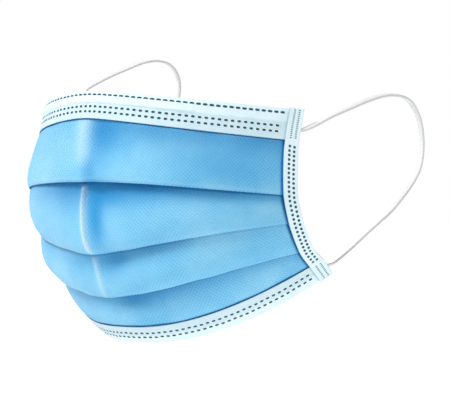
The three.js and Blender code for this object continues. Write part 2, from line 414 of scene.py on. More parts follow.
class ShaderGroups:
    """The effects that several finishes share, each built once."""

    @staticmethod
    @cache
    def diamond_emboss() -> bpy.types.NodeTree:
        """Small pillows between crossed diagonal lines, as a calender roll presses into cloth."""
        tree, graph, start, end = start_group(
            "diamond_emboss",
            {"Layout": (VECTOR, None), "Spacing": (FLOAT, 0.0013)},
            {"Height": FLOAT, "Line": FLOAT},
        )
        split = graph.add("ShaderNodeSeparateXYZ", {0: start.outputs["Layout"]})
        waves = []
        for operation in ("ADD", "SUBTRACT"):
            turned = graph.math(operation, split.outputs[0], split.outputs[1])
            turned = graph.math("DIVIDE", turned, start.outputs["Spacing"])
            wave = graph.math("SINE", graph.math("MULTIPLY", turned, math.pi))
            waves.append(graph.math("ABSOLUTE", wave))
        pillow = graph.math("MINIMUM", *waves)
        narrowness = 2.2
        line = graph.math("SUBTRACT", 1.0, graph.math("MULTIPLY", pillow, narrowness))
        graph.join(pillow, end.inputs["Height"])
        graph.join(graph.math("MAXIMUM", line, 0.0), end.inputs["Line"])
        return tree

    @staticmethod
    @cache
    def fibre() -> bpy.types.NodeTree:
        """Fine crossed fibres of a spun-bonded cloth."""
        tree, graph, start, end = start_group(
            "fibre",
            {"Layout": (VECTOR, None), "Density": (FLOAT, 1500.0)},
            {"Height": FLOAT, "Cloud": FLOAT},
        )
        layout, density = start.outputs["Layout"], start.outputs["Density"]
        heights = []
        for stretch in ((1.0, 0.25, 1.0), (0.3, 1.0, 1.0)):
            inputs = {0: layout, 1: stretch}
            pulled = graph.add("ShaderNodeVectorMath", inputs, operation="MULTIPLY").outputs[0]
            inputs = {"Vector": pulled, "Scale": density, "Detail": 3.0}
            heights.append(graph.add("ShaderNodeTexNoise", inputs).outputs[0])
        inputs = {"Vector": layout, "Scale": 45.0, "Detail": 4.0}
        graph.join(graph.math("MAXIMUM", *heights), end.inputs["Height"])
        graph.join(graph.add("ShaderNodeTexNoise", inputs).outputs[0], end.inputs["Cloud"])
        return tree

    @staticmethod
    @cache
    def tint() -> bpy.types.NodeTree:
        """A cloth's colour: drifting pale to deep, with painted deeper blue shade, painted
        highlight and painted shade where told.
        """
        tree, graph, start, end = start_group(
            "tint",
            {
                "Pale": (COLOR, (1, 1, 1, 1)),
                "Deep": (COLOR, (0.5, 0.5, 0.5, 1)),
                "Shade": (COLOR, (0.1, 0.1, 0.1, 1)),
                "Cloud": (FLOAT, 0.5),
                "Fold": (FLOAT, 0.0),
                "Crest": (FLOAT, 0.0),
                "Wash": (FLOAT, 0.0),
            },
            {"Color": COLOR},
        )
        given = start.outputs
        drift = graph.math("MULTIPLY", graph.math("SUBTRACT", given["Cloud"], 0.2), 1.3)
        drift = graph.math("MINIMUM", graph.math("MAXIMUM", drift, 0.0), 1.0)
        tone = graph.mix(drift, given["Pale"], given["Deep"])
        # painted deeper blue shade, then painted highlight, then painted shade
        deep_shaded = graph.mix(given["Wash"], tone, DEEP_SHADE_MULTIPLIER, "MULTIPLY")
        highlighted = graph.mix(given["Crest"], deep_shaded, HIGHLIGHT_WHITE)
        graph.join(graph.mix(given["Fold"], highlighted, given["Shade"]), end.inputs["Color"])
        return tree


@dataclass(frozen=True)
class ClothFinish:
    """A non-woven cloth: its colours, emboss, fibres and sheen."""

    name: str
    # pale and deep: the cloth's own colours, drifting at random; shade: the colour that painted
    # shade mixes towards
    pale: tuple
    deep: tuple
    shade: tuple
    roughness: float = 0.75
    sheen: float = 0.25
    spacing: float = 0.0013
    emboss: float = 0.5
    emboss_depth: float = 0.00012
    fibre_depth: float = 0.00003
    line_tone: float = 0.8
    # whether its piece has a flat layout, and whether it takes painted highlight and painted deeper
    # blue shade besides painted shade
    laid_flat: bool = True
    takes_highlight_and_deep_shade: bool = False

    def material(self) -> bpy.types.Material:
        """Builds the material on its first use.

        Returns:
            The material.
        """
        made = bpy.data.materials.get(self.name)
        if made:
            return made
        made = bpy.data.materials.new(self.name)
        made.use_nodes = True
        graph = Graph(made.node_tree)
        shader = made.node_tree.nodes["Principled BSDF"]
        if self.laid_flat:
            layout = graph.add("ShaderNodeUVMap", uv_map="flat_layout").outputs[0]
        else:
            layout = graph.add("ShaderNodeTexCoord").outputs["Object"]
        emboss = graph.place(
            ShaderGroups.diamond_emboss(), {"Layout": layout, "Spacing": self.spacing}
        )
        fibre = graph.place(ShaderGroups.fibre(), {"Layout": layout})
        cloud, height = fibre.outputs["Cloud"], fibre.outputs["Height"]
        line = graph.math("MULTIPLY", emboss.outputs["Line"], self.emboss)
        patchy = graph.math("MULTIPLY", line, cloud)
        inputs = {
            "Pale": (*self.pale, 1),
            "Deep": (*self.deep, 1),
            "Shade": (*self.shade, 1),
            "Cloud": graph.math("ADD", cloud, graph.math("MULTIPLY", patchy, self.line_tone)),
        }
        # every finish reads its painted shade; the blue cloth also reads its painted highlight and
        # painted deeper blue shade
        for label in ("fold", "crest", "wash") if self.takes_highlight_and_deep_shade else ("fold",):
            tone = graph.add("ShaderNodeAttribute", attribute_name=label)
            inputs[label.title()] = tone.outputs["Fac"]
        tint = graph.place(ShaderGroups.tint(), inputs)
        graph.join(tint.outputs["Color"], shader.inputs["Base Color"])
        rough = graph.math("MULTIPLY", graph.math("ADD", height, 1.0), self.roughness * 0.66)
        graph.join(rough, shader.inputs["Roughness"])
        inputs = {"Distance": self.emboss_depth, "Height": emboss.outputs["Height"]}
        pressed = graph.add("ShaderNodeBump", {"Strength": 1.0, **inputs}).outputs[0]
        inputs = {"Distance": self.fibre_depth, "Height": height, "Normal": pressed}
        fuzz = graph.add("ShaderNodeBump", {"Strength": 1.0, **inputs}).outputs[0]
        graph.join(fuzz, shader.inputs["Normal"])
        shader.inputs["Sheen Weight"].default_value = self.sheen
        shader.inputs["Sheen Roughness"].default_value = 0.5
        shader.inputs["Specular IOR Level"].default_value = 0.25
        return made


FILTER_BLUE = ClothFinish(
    "filter_blue",
    (0.300, 0.655, 0.880),
    (0.120, 0.480, 0.800),
    # colour of the painted shade in folds, hems, seams and under the pleats
    (0.001, 0.165, 0.440),
    sheen=0.06,
    spacing=0.0017,
    emboss=1.0,
    emboss_depth=0.0002,
    takes_highlight_and_deep_shade=True,
)
# its third colour is the painted shade in the inside's laps and folds
FILTER_INSIDE = ClothFinish(
    "filter_inside", (0.88, 0.91, 0.93), (0.82, 0.87, 0.90), (0.68, 0.77, 0.83), sheen=0.1
)
STRIP_WHITE = ClothFinish(
    "strip_white",
    (0.76, 0.89, 0.94),
    (0.60, 0.80, 0.89),
    # colour of the painted shade at the strips' hems
    (0.16, 0.36, 0.46),
    emboss=0.2,
    spacing=0.0009,
    emboss_depth=0.00004,
)
WELD_DARK = ClothFinish(
    "weld_dark",
    (0.030, 0.085, 0.115),
    (0.018, 0.055, 0.080),
    (0.01, 0.03, 0.04),
    roughness=0.5,
    sheen=0.0,
    emboss=0.0,
    emboss_depth=0.00001,
)
WIRE_COAT = ClothFinish(
    "wire_coat",
    (0.86, 0.89, 0.92),
    (0.78, 0.83, 0.87),
    (0.5, 0.5, 0.5),
    roughness=0.45,
    sheen=0.0,
    emboss=0.0,
    emboss_depth=0.00001,
    laid_flat=False,
)
ELASTIC_WHITE = ClothFinish(
    "elastic_white",
    (0.84, 0.84, 0.84),
    (0.77, 0.77, 0.77),
    # colour of the painted shade along the elastic's edges
    (0.40, 0.40, 0.41),
    sheen=0.05,
    emboss=0.12,
    spacing=0.0007,
    emboss_depth=0.00004,
)


# ---------------------------------------------------------------- pieces


@dataclass
class PleatedPanel:
    """The blue filter cloth: one sheet with three downward pleats and a soft centre ridge."""

    surface: MaskSurface
    top: float = 0.5
    bottom: float = 5.86
    thickness: float = 0.3 * MM
    under_layer: float = 0.65 * MM
    half_width: float = 90.0
    rows_per_panel: int = 24
    # pleat: step depth in mm at these shares across
    stations: tuple = (-1.0, -0.55, -0.12, 0.0, 0.14, 0.4, 0.75, 1.0)
    depths: dict = field(
        default_factory=lambda: {
            2: (0.9, 0.9, 2.5, 3.0, 3.4, 3.2, 2.2, 0.9),
            3: (0.9, 1.0, 1.2, 1.6, 3.2, 2.6, 1.2, 0.9),
            4: (0.9, 1.0, 1.1, 1.4, 3.0, 2.4, 1.6, 0.9),
        }
    )
    # pleat: how much painted shade lies below it at the same shares across, and how far down
    tones: dict = field(
        default_factory=lambda: {
            1: (0.10, 0.10, 0.12, 0.05, 0.55, 0.50, 0.50, 0.60),
            2: (0.20, 0.25, 0.90, 0.80, 1.0, 1.0, 0.70, 0.45),
            3: (0.20, 0.24, 0.26, 0.30, 0.50, 0.50, 0.10, 0.06),
            4: (0.20, 0.26, 0.34, 0.42, 0.72, 0.62, 0.38, 0.25),
        }
    )
    tone_reach: dict = field(default_factory=lambda: {1: 0.35, 2: 0.25, 3: 0.24, 4: 0.34})
    # height, then the ridge's rise and its spread, in mm
    ridge_rise: tuple = (
        (0.95, 0.0), (1.2, 0.6), (1.85, 0.6), (2.0, 0.3), (2.12, 1.8), (2.7, 1.6), (2.96, 0.9),
        (3.0, 0.2), (3.15, 1.0), (3.8, 0.8), (4.0, 0.2), (4.4, 0.5), (4.95, 0.0),
    )
    ridge_spread: tuple = ((1.0, 6.0), (1.9, 3.5), (2.1, 1.0), (3.0, 1.2), (5.0, 1.8))
    # the dents' painted deeper blue shade; the shares of the painted shade below a pleat that go to
    # the shade colour and to the deeper blue; the strength of the painted shadow line just under
    # each pleat's edge
    dent_tone: float = 0.6
    fold_part: float = 0.68
    wash_part: float = 0.9
    edge_line: float = 0.65
    # the pleat whose painted shadow line under its edge fades, and how strong that line is at the
    # same shares across
    fading_pleat: int = 3
    fading_line: tuple = (1.0, 1.0, 1.0, 1.0, 1.0, 1.0, 0.45, 0.25)
    # painted deeper blue shade right of the ridge: height, share across, amount, spread in height,
    # spread across
    washes: tuple = (
        (1.30, 0.17, 0.62, 0.36, 0.10),
        (1.80, 0.08, 0.55, 0.32, 0.06),
        (2.45, 0.08, 0.80, 0.36, 0.06),
        (2.22, 0.20, 0.50, 0.22, 0.13),
        (1.65, 0.82, 0.55, 0.35, 0.22),
        (3.30, 0.12, 0.35, 0.25, 0.10),
    )
    # height, share across, depth in mm, spread in height, spread across
    dents: tuple = (
        (1.20, 0.18, 1.1, 0.36, 0.12),
        (2.50, 0.09, 1.0, 0.30, 0.055),
        (2.18, 0.13, 1.6, 0.16, 0.10),
        (2.25, -0.16, 0.8, 0.22, 0.10),
        (3.20, 0.17, 1.0, 0.20, 0.12),
        (3.25, -0.15, 0.6, 0.20, 0.10),
        (4.20, 0.20, 0.8, 0.25, 0.12),
    )

    def columns(self) -> tuple:
        """Shares across and distances past the seam, closer together at the ridge and seams."""
        inner = [0.0, 0.004, 0.008, 0.012, 0.017, 0.023, 0.03, 0.04, 0.05]
        outer = [*np.linspace(0.062, 0.978, 70), 0.984, 0.989, 0.993, 0.997, 1.0]
        half = np.array(inner + list(outer))
        across = np.concatenate([[-1, -1], -half[:0:-1], half, [1, 1]])
        past = np.zeros_like(across)
        past[[0, -1]], past[[1, -2]] = PAST_SEAM, PAST_SEAM / 2
        return across, past

    def step_depth(self, pleat: int, across: Array) -> Array:
        """Depth of a pleat's step in metres."""
        return ease(across, self.stations, self.depths[pleat]) * MM

    def shadow(self, pleat: int, part: float, across: Array) -> Array:
        """Painted shade just below a pleat, where its shadow falls.

        Args:
            pleat: The pleat's row, 1 for the hem above the first panel.
            part: How far down the panel, from 0 to 1.
            across: Share across of each column.

        Returns:
            The painted shade towards the shade colour and the painted deeper blue shade, for each
            column.
        """
        reach = self.tone_reach[pleat]
        line = self.edge_line * math.exp(-((part / 0.025) ** 2)) if pleat > 1 else 0
        if pleat == self.fading_pleat:
            line = line * ease(across, self.stations, self.fading_line)
        tone = ease(across, self.stations, self.tones[pleat]) * math.exp(-((part / reach) ** 2))
        return np.clip(self.fold_part * tone + line, 0, 1), self.wash_part * tone

    def lap(self, across: Array) -> Array:
        """How far the cloth folds back up behind a pleat's edge, in rows."""
        return 0.18 + 0.22 * smoothstep(0.5, 1.0, np.abs(across))

    @staticmethod
    def patches(table: tuple, height: Array, across: Array) -> list:
        """The soft round patches of a table, as an array of values for each row of it."""
        return [
            size * np.exp(-(((height - h) / tall) ** 2 + ((across - u) / wide) ** 2))
            for h, u, size, tall, wide in table
        ]

    def dent(self, height: Array, across: Array) -> Array:
        """Depth of the hollows beside the ridge, in mm."""
        return sum(self.patches(self.dents, height, across))

    def wash(self, height: Array, across: Array) -> Array:
        """Painted deeper blue shade in patches right of the ridge, 0 to 1."""
        left = np.ones_like(height)
        for patch in self.patches(self.washes, height, across):
            left = left * (1 - patch)
        return (1 - left) * smoothstep(-0.01, 0.03, across)

    def relief(self, height: Array, across: Array) -> Array:
        """The centre ridge, the dents beside it and the cloth's slow waves, in metres."""
        from_ridge = across * self.half_width
        tall = ease(height, *zip(*self.ridge_rise))
        wide = ease(height, *zip(*self.ridge_spread))
        lean = np.where(from_ridge > 0, 1.0, 1.7)
        ridge = tall * np.exp(-((from_ridge / (wide * lean)) ** 2))
        slow = np.sin(across * 13.0 + height * 2.3) * np.sin(height * 3.1 + across * 4.0 + 1.0)
        wave = 0.22 * slow + 0.12 * np.sin(across * 31.0 - height * 4.7)
        open_part = window(1.05, 4.9, 0.12, height) * (1 - smoothstep(0.85, 1.0, np.abs(across)))
        return (ridge - self.dent(height, across) + wave) * open_part * MM

    def crest(self, height: Array, across: Array) -> Array:
        """Painted highlight on the ridge, the nose and the pleats' edges, and paler across the left
        half, 0 to 1.
        """
        from_ridge = across * self.half_width
        lean = np.where(from_ridge > 0, 1.0, 1.8)
        strength = 0.8 * window(2.08, 2.93, 0.08, height) + 0.4 * window(3.1, 3.9, 0.15, height)
        ridge = np.exp(-((from_ridge / (1.4 * lean)) ** 2)) * strength
        nose = 0.45 * np.exp(-(((across - 0.02) / 0.06) ** 2)) * window(1.08, 1.55, 0.3, height)
        part = np.mod(height, 1.0)
        edge = 0.22 * smoothstep(0.93, 0.985, part) * window(1.5, 3.999, 0.1, height)
        left = 0.14 * smoothstep(0.02, 0.30, -across) * window(1.1, 4.6, 0.2, height)
        return np.clip(ridge + nose + edge + left, 0, 1)

    def stations_down(self, across: Array) -> tuple:
        """The sheet's way down each column.

        Args:
            across: Share across of each column.

        Returns:
            Heights, distances out in metres, painted shade and painted deeper blue shade, each rows
            by columns.
        """
        ones = np.ones_like(across)
        heights, outs, folds, washes = [], [], [], []

        def put(height: Array, out: Array, fold: Array, wash: Array = 0.0) -> None:
            """Adds one row."""
            heights.append(height * ones)
            outs.append(out * ones)
            folds.append(fold * ones)
            washes.append(wash * ones)

        # painted shade line just under the top strip's hem
        hem = ((self.top, 0), (0.75, 0), (0.95, 0.6), (1.0, 1), (1.02, 1), (1.035, 0.3))
        for height, fold in hem:
            put(height, 0.0, fold)
        depth = 0 * ones
        for pleat in (2, 3, 4):
            start = 1.05 if pleat == 2 else pleat - 1 + 0.03
            for part in np.linspace(0, 1, self.rows_per_panel, endpoint=False) ** 1.15:
                height = start + (pleat - start) * part
                put(height, -depth * (1 - part), *self.shadow(pleat - 1, part, across))
            next_depth = self.step_depth(pleat, across)
            under = -np.maximum(next_depth / 2, self.under_layer)
            lap = self.lap(across)
            # painted shade under each pleat's edge, in the laps behind it and in a line just below
            # it
            put(pleat, 0.0, 0)
            put(pleat + 0.012, under * 0.3, 0.25)
            put(pleat + 0.010, under * 0.75, 0.8)
            for back in (0.0, 0.5, 0.92):
                put(pleat - lap * back, under - depth * lap * back, 1)
            put(pleat - lap, (under - next_depth) / 2 - depth * lap, 1)
            for back in (0.92, 0.5, 0.12):
                put(pleat - lap * back, -next_depth - depth * lap * back, 1)
            put(pleat, -next_depth, 0.9)
            put(pleat + 0.015, -next_depth * 0.99, 0.7)
            depth = next_depth
        for part in np.linspace(0.03, 0.9, 14):
            put(4 + part, -depth * (1 - part), *self.shadow(4, part, across))
        # painted shade line along the bottom strip's hem
        hem = ((4.93, 0.3), (4.95, 1), (5.0, 1), (5.08, 0.5), (5.4, 0), (self.bottom, 0))
        for height, fold in hem:
            put(height, 0.0, fold)
        return np.array(heights), np.array(outs), np.array(folds), np.array(washes)

    def build(self) -> bpy.types.Object:
        across, past = self.columns()
        height, out, fold, below = self.stations_down(across)
        share = np.broadcast_to(across, height.shape)
        out = out + self.relief(height, share)
        # painted shade along the side seams; painted deeper blue shade in the dents, below the
        # pleats and right of the ridge
        seam_shade = smoothstep(0.990, 0.996, np.abs(share)) * window(1.0, 5.0, 0.02, height)
        points = self.surface.place(height, share, out, np.broadcast_to(past, height.shape))
        hollow = np.clip(self.dent_tone * self.dent(height, share), 0, 0.85)
        wash = 1 - (1 - hollow) * (1 - self.wash(height, share)) * (1 - below)
        obj = grid_object(
            "mask_cloth",
            points,
            fold=np.maximum(np.clip(fold, 0, 1), seam_shade),
            crest=self.crest(height, share),
            wash=wash,
        )
        for finish in (FILTER_BLUE, FILTER_INSIDE):
            obj.data.materials.append(finish.material())
        thicken(obj, self.thickness, inner_slot=1)
        settle(obj, Slot.FILTER, "mask_body")
        return obj


@dataclass
class WeldMarks:
    """Pressed weld marks, joined into one piece: a raised lip round a dark sunken middle."""

    name: str
    corners: int = 14
    # scale of the outline, height above the strip in mm, for each ring from the outside in
    rings: tuple = ((1.35, -0.02), (1.18, 0.10), (1.0, 0.11), (0.9, 0.085), (0.45, 0.075))
    middle_rise: float = 0.07 * MM
    first_dark_ring: int = 2
    points: list = field(default_factory=list)
    faces: list = field(default_factory=list)
    dark: list = field(default_factory=list)
    layout: list = field(default_factory=list)

    def press(
        self, at: float, centre: Array, along: Array, out: Array, length: float, width: float
    ) -> None:
        """Adds one mark.

        Args:
            at: How far along its row it lies, in metres.
            centre: Its middle, on the strip's face.
            along: Direction of its length.
            out: Direction out of the strip.
            length: Along it, in metres.
            width: Across it, in metres.
        """
        aside = unit(np.cross(out, along))
        along = unit(np.cross(aside, out))
        turn = np.arange(self.corners) / self.corners * 2 * math.pi
        x = np.sign(np.cos(turn)) * np.abs(np.cos(turn)) ** 0.75 * length / 2
        y = np.sign(np.sin(turn)) * np.abs(np.sin(turn)) ** 0.75 * width / 2
        base, count = len(self.points), self.corners
        lip = min(length, width) * 0.5
        for scale, rise in self.rings:
            grow = (scale - 1) * lip
            px = x + np.cos(turn) * grow if scale > 0.5 else x * scale
            py = y + np.sin(turn) * grow if scale > 0.5 else y * scale
            ring = centre + px[:, None] * along + py[:, None] * aside + out * rise * MM
            self.points.extend(ring.tolist())
            self.layout.extend(np.stack([at + px, py], axis=1).tolist())
        self.points.append((centre + out * self.middle_rise).tolist())
        self.layout.append([at, 0.0])
        for r in range(len(self.rings) - 1):
            for i in range(count):
                a, b = base + r * count + i, base + r * count + (i + 1) % count
                self.faces.append((a, b, b + count, a + count))
                self.dark.append(r >= self.first_dark_ring)
        last, middle = base + (len(self.rings) - 1) * count, base + len(self.rings) * count
        for i in range(count):
            self.faces.append((last + i, last + (i + 1) % count, middle))
            self.dark.append(True)

    def along_row(
        self, frames: tuple, pitch: float, length: float, width: float, ends: float = 0.0
    ) -> None:
        """Spaces marks evenly along a line.

        Args:
            frames: The line's points and its directions out of the strip.
            pitch: Between neighbouring marks, in metres.
            length: Of a mark along the line.
            width: Of a mark across the line.
            ends: Bare length at each end, in metres.
        """
        line, out = frames
        run = arc_lengths(line[None], 1)[0]
        usable = run[-1] - 2 * ends
        count = max(int(usable / pitch), 1)
        first = ends + (usable - (count - 1) * pitch) / 2
        near = 0.1 * MM

        def read(at: float, values: Array) -> Array:
            """A vector read off at a distance along the line."""
            return np.array([np.interp(at, run, values[:, i]) for i in range(3)])

        for k in range(count):
            at = first + k * pitch
            along = read(at + near, line) - read(at - near, line)
            self.press(at, read(at, line), along, unit(read(at, out)), length, width)

    def build(self) -> bpy.types.Object:
        """Builds and dresses the joined marks."""
        mesh = bpy.data.meshes.new(self.name)
        mesh.from_pydata(self.points, [], self.faces)
        mesh.shade_smooth()
        corners = [corner for face in self.faces for corner in face]
        layer = mesh.uv_layers.new(name="flat_layout")
        layer.data.foreach_set("uv", np.array(self.layout)[corners].ravel().astype(np.float32))
        mesh.materials.append(STRIP_WHITE.material())
        mesh.materials.append(WELD_DARK.material())
        mesh.polygons.foreach_set("material_index", [int(d) for d in self.dark])
        obj = bpy.data.objects.new(self.name, mesh)
        bpy.context.scene.collection.objects.link(obj)
        settle(obj, Slot.BINDING)
        return obj


@dataclass
class EdgeBand:
    """A white strip folded over the upper or lower edge, with its weld rows."""

    surface: MaskSurface
    edge: Edge
    thickness: float = 0.28 * MM
    face_out: float = 0.6 * MM
    back_out: float = -2.0 * MM
    back_hem_out: float = -1.2 * MM
    wire_span: float = 0.66
    wire_rows: tuple = (0.2, 0.44)
    wire_rise: float = 0.5 * MM
    mark_pitch: float = 2.74 * MM
    columns: int = 241

    def height(self, share: Array) -> Array:
        """Row height at a share of the strip, 0 at the fold and 1 at the hem."""
        hem, fold = self.edge.value
        return fold + (hem - fold) * np.asarray(share, float)

    def face(self, share: Array, across: Array) -> Array:
        """How far the strip's front stands out, in metres."""
        groove = sum(np.exp(-(((share - at) / 0.08) ** 2)) for at in self.weld_shares())
        out = self.face_out - 0.06 * MM * groove
        if self.edge is Edge.TOP:
            over = window(*self.wire_rows, 0.035, share)
            reach = 1 - smoothstep(self.wire_span - 0.006, self.wire_span + 0.006, np.abs(across))
            out = out + self.wire_rise * over * reach
        puff = 0.12 * np.sin(across * 57.0) * np.sin(share * 6.0 + across * 9.0)
        return out + puff * MM * window(0.2, 0.85, 0.15, share)

    def weld_shares(self) -> tuple:
        """Where the weld rows run, as shares from the fold to the hem."""
        return (0.15, 0.60, 0.78) if self.edge is Edge.TOP else (0.40, 0.66)

    def build(self) -> bpy.types.Object:
        edge_share = np.concatenate([[-1, -1], np.linspace(-1, 1, self.columns), [1, 1]])
        past = np.zeros_like(edge_share)
        past[[0, -1]], past[[1, -2]] = PAST_SEAM, PAST_SEAM / 2
        front = [1.0, 0.985, *np.linspace(0.96, 0.06, 34)]
        middle = (self.face_out + self.back_out) / 2
        half = (self.face_out - self.back_out) / 2
        share, out, fold = [], [], []
        for s in front:
            share.append(s + 0 * edge_share)
            out.append(self.face(np.full_like(edge_share, s), edge_share))
            # painted shade: a line at the hem, and a bluish shade over the half towards it
            fold.append(0.55 if s > 0.99 else 0.24 * float(window(0.5, 0.98, 0.1, s)))
        for angle in np.linspace(70, -70, 7):
            share.append(0.035 * (1 - math.cos(math.radians(angle)) * 1.4) + 0 * edge_share)
            out.append(middle + half * math.sin(math.radians(angle)) + 0 * edge_share)
            fold.append(0.0)
        rise = self.back_hem_out - self.back_out
        for s in np.linspace(0.06, 1.0, 12):
            share.append(s + 0 * edge_share)
            out.append(self.back_out + rise * s**3 + 0 * edge_share)
            fold.append(0.0)
        height = self.height(np.array(share))
        across, beyond = (np.broadcast_to(a, height.shape) for a in (edge_share, past))
        points = self.surface.place(height, across, np.array(out), beyond)
        folds = np.broadcast_to(np.array(fold)[:, None], height.shape)
        if self.edge is Edge.TOP:
            points, folds = points[::-1], folds[::-1]
        name = self.edge.name.lower()
        obj = grid_object(f"{name}_band_cloth", points, fold=folds)
        obj.data.materials.append(STRIP_WHITE.material())
        thicken(obj, self.thickness)
        settle(obj, Slot.BINDING, f"{name}_band")
        marks = self.marks()
        return obj

    def marks(self) -> bpy.types.Object:
        """The strip's weld marks."""
        marks = WeldMarks(f"{self.edge.name.lower()}_band_welds")
        across = np.linspace(-0.995, 0.995, 500)
        for share in self.weld_shares():
            out = self.face(np.full_like(across, share), across)
            line, _, normal = self.surface.frames(self.height(share), across, out)
            single = self.edge is Edge.TOP and share < 0.3
            length = (2.0 if single else 1.6) * MM
            marks.along_row((line, normal), self.mark_pitch, length, 1.05 * MM, 0.6 * MM)
        return marks.build()


@dataclass
class SideBinding:
    """A white strip folded round the pleats' ends, with two weld rows and tight end welds."""

    surface: MaskSurface
    side: Side
    width: float = 6.8 * MM
    thickness: float = 0.28 * MM
    face_out: float = 0.55 * MM
    over_bands: float = 0.6 * MM
    back_out: float = -3.1 * MM
    back_hem_out: float = -2.7 * MM
    row_places: tuple = (2.4 * MM, 4.5 * MM)
    groove: float = 0.8 * MM
    groove_depth: float = 0.12
    mark_pitch: float = 1.95 * MM
    tight_pitch: float = 0.86 * MM
    tight_rows: tuple = ((-0.02, 1.0), (5.0, 6.0))
    flat_size: tuple = (16.5 * MM, 84 * MM)

    def face(self, height: Array) -> Array:
        """How far the strip's front stands out, in metres."""
        top = 1 - smoothstep(1.02, 1.2, height)
        bottom = smoothstep(4.7, 4.97, height)
        return self.face_out + self.over_bands * np.maximum(top, bottom)

    def profile(self) -> list:
        """The section from the front hem round the fold to the back hem.

        Returns:
            Distance past the seam, shares of the front's and the back's height out, and painted
            shade, a line along the front hem.
        """
        front = []
        for at in np.linspace(0, 0.93, 22) * self.width:
            pressed = sum(math.exp(-(((at - r) / self.groove) ** 2)) for r in self.row_places)
            # painted shade line along the front hem
            front.append((at, 1 - self.groove_depth * pressed, 0.0, 0.6 if at == 0 else 0.0))
        turn = []
        for angle in np.radians((20, 45, 70, 90, 110, 135, 160)):
            out = (1 + math.cos(angle)) / 2
            turn.append((self.width * (0.93 + 0.07 * math.sin(angle)), out, 1 - out, 0.0))
        back = [(p * self.width, 0.0, 1.0, 0.0) for p in np.linspace(0.93, 0, 9)]
        return front + turn + back

    def build(self) -> bpy.types.Object:
        height = np.linspace(-0.03, 6.03, 190)
        profile = np.array(self.profile())
        shape = (len(height), len(profile))
        past, front, back, fold = (np.broadcast_to(column, shape) for column in profile.T)
        h = np.broadcast_to(height[:, None], past.shape)
        behind = self.back_out + (self.back_hem_out - self.back_out) * (1 - past / self.width) ** 2
        out = front * self.face(h) + back * behind
        sign = self.side.value
        points = self.surface.place(h, np.full_like(h, sign), out, past)
        if self.side is Side.LEFT:
            points, fold = points[:, ::-1], fold[:, ::-1]
        name = f"side_binding_{self.side.name.lower()}"
        obj = grid_object(f"{name}_cloth", points, fold=fold)
        obj.data.materials.append(STRIP_WHITE.material())
        thicken(obj, self.thickness)
        settle(obj, Slot.BINDING, name)
        marks = self.marks(f"{name}_welds")
        return obj

    def marks(self, name: str) -> bpy.types.Object:
        """The strip's weld marks."""
        marks = WeldMarks(name)
        sign = self.side.value

        def row(low: float, high: float, past: float, pitch: float, size: tuple) -> None:
            """Adds one row of marks between two heights."""
            height = np.linspace(low, high, 300)
            out = self.face(height) * (1 - self.groove_depth)
            line, _, normal = self.surface.frames(height, sign, out, past)
            marks.along_row((line, normal), pitch, size[0] * MM, size[1] * MM, 0.2 * MM)

        for past in self.row_places:
            row(1.06, 4.94, past, self.mark_pitch, (1.15, 1.15))
            for low, high in self.tight_rows:
                row(low, high, past, self.tight_pitch, (0.40, 0.90))
        row(-0.02, 0.4, 0.6 * MM, self.tight_pitch, (0.3, 0.55))
        return marks.build()


@dataclass
class EarLoop:
    """A flat knitted elastic: ribs along it and small stitches across."""

    surface: MaskSurface
    side: Side
    route: tuple
    width: float = 3.2 * MM
    thick: float = 1.3 * MM
    ring_step: float = 0.45 * MM
    ribs: int = 5
    section_points: int = 40
    tuck_heights: tuple = (0.66, 5.6)
    tuck_past: float = 5.6 * MM
    tuck_out: float = -1.3 * MM
    twist_start: float = 1.5
    twist_end: float = 0.95
    twist_wander: float = 0.06

    def centreline(self) -> Array:
        """Evenly spaced points along the route, in metres."""
        ends = self.surface.place(
            np.array(self.tuck_heights), self.side.value, self.tuck_out, self.tuck_past
        )
        points = np.concatenate([ends[:1], np.array(self.route) * MM, ends[1:]])
        before, after = 2 * points[0] - points[1], 2 * points[-1] - points[-2]
        points = np.concatenate([[before], points, [after]])
        part = np.linspace(0, 1, 24, endpoint=False)
        pieces = []
        for i in range(1, len(points) - 2):
            four = [np.broadcast_to(points[i + k], (24, 3)) for k in (-1, 0, 1, 2)]
            pieces.append(catmull_rom(*four, part))
        line = np.concatenate([*pieces, points[-2][None]])
        run = arc_lengths(line[None], 1)[0]
        even = np.linspace(0, run[-1], int(run[-1] / self.ring_step) + 1)
        return np.stack([np.interp(even, run, line[:, i]) for i in range(3)], axis=1)

    def build(self) -> bpy.types.Object:
        line = self.centreline()
        run = arc_lengths(line[None], 1)[0]
        ahead = unit(np.gradient(line, axis=0))
        flat_way = np.array([1.0, 0.0, 0.0])
        beside = unit(np.cross(ahead, flat_way))
        level = unit(np.cross(beside, ahead))
        share = run / run[-1]
        twist = self.twist_start + (self.twist_end - self.twist_start) * share
        twist = twist + self.twist_wander * np.sin(share * 21.0)
        wide = beside * np.cos(twist)[:, None] + level * np.sin(twist)[:, None]
        tall = unit(np.cross(ahead, wide))
        turn = np.arange(self.section_points) / self.section_points * 2 * math.pi
        x = np.sign(np.cos(turn)) * np.abs(np.cos(turn)) ** 0.6 * self.width / 2
        y = np.sign(np.sin(turn)) * np.abs(np.sin(turn)) ** 0.6 * self.thick / 2
        rib = 1 + 0.07 * np.cos(x / self.width * 2 * math.pi * self.ribs)
        stitch = 1 + 0.02 * np.sin(run / (2.2 * MM) * 2 * math.pi)
        section = x[None, :, None] * wide[:, None] + (y * rib)[None, :, None] * tall[:, None]
        points = line[:, None] + section * stitch[:, None, None]
        points = np.concatenate([points, points[:, :1]], axis=1)
        name = f"ear_loop_{self.side.name.lower()}"
        # painted shade along the elastic's two edges
        edge_shade = 0.5 * smoothstep(0.72, 1.0, np.abs(np.append(x, x[0])) / (self.width / 2))
        edge_shade = np.broadcast_to(edge_shade, points.shape[:2])
        obj = grid_object(f"{name}_elastic", points[:, ::-1], fold=edge_shade[:, ::-1])
        obj.data.materials.append(ELASTIC_WHITE.material())
        settle(obj, Slot.ELASTIC, name)
        return obj


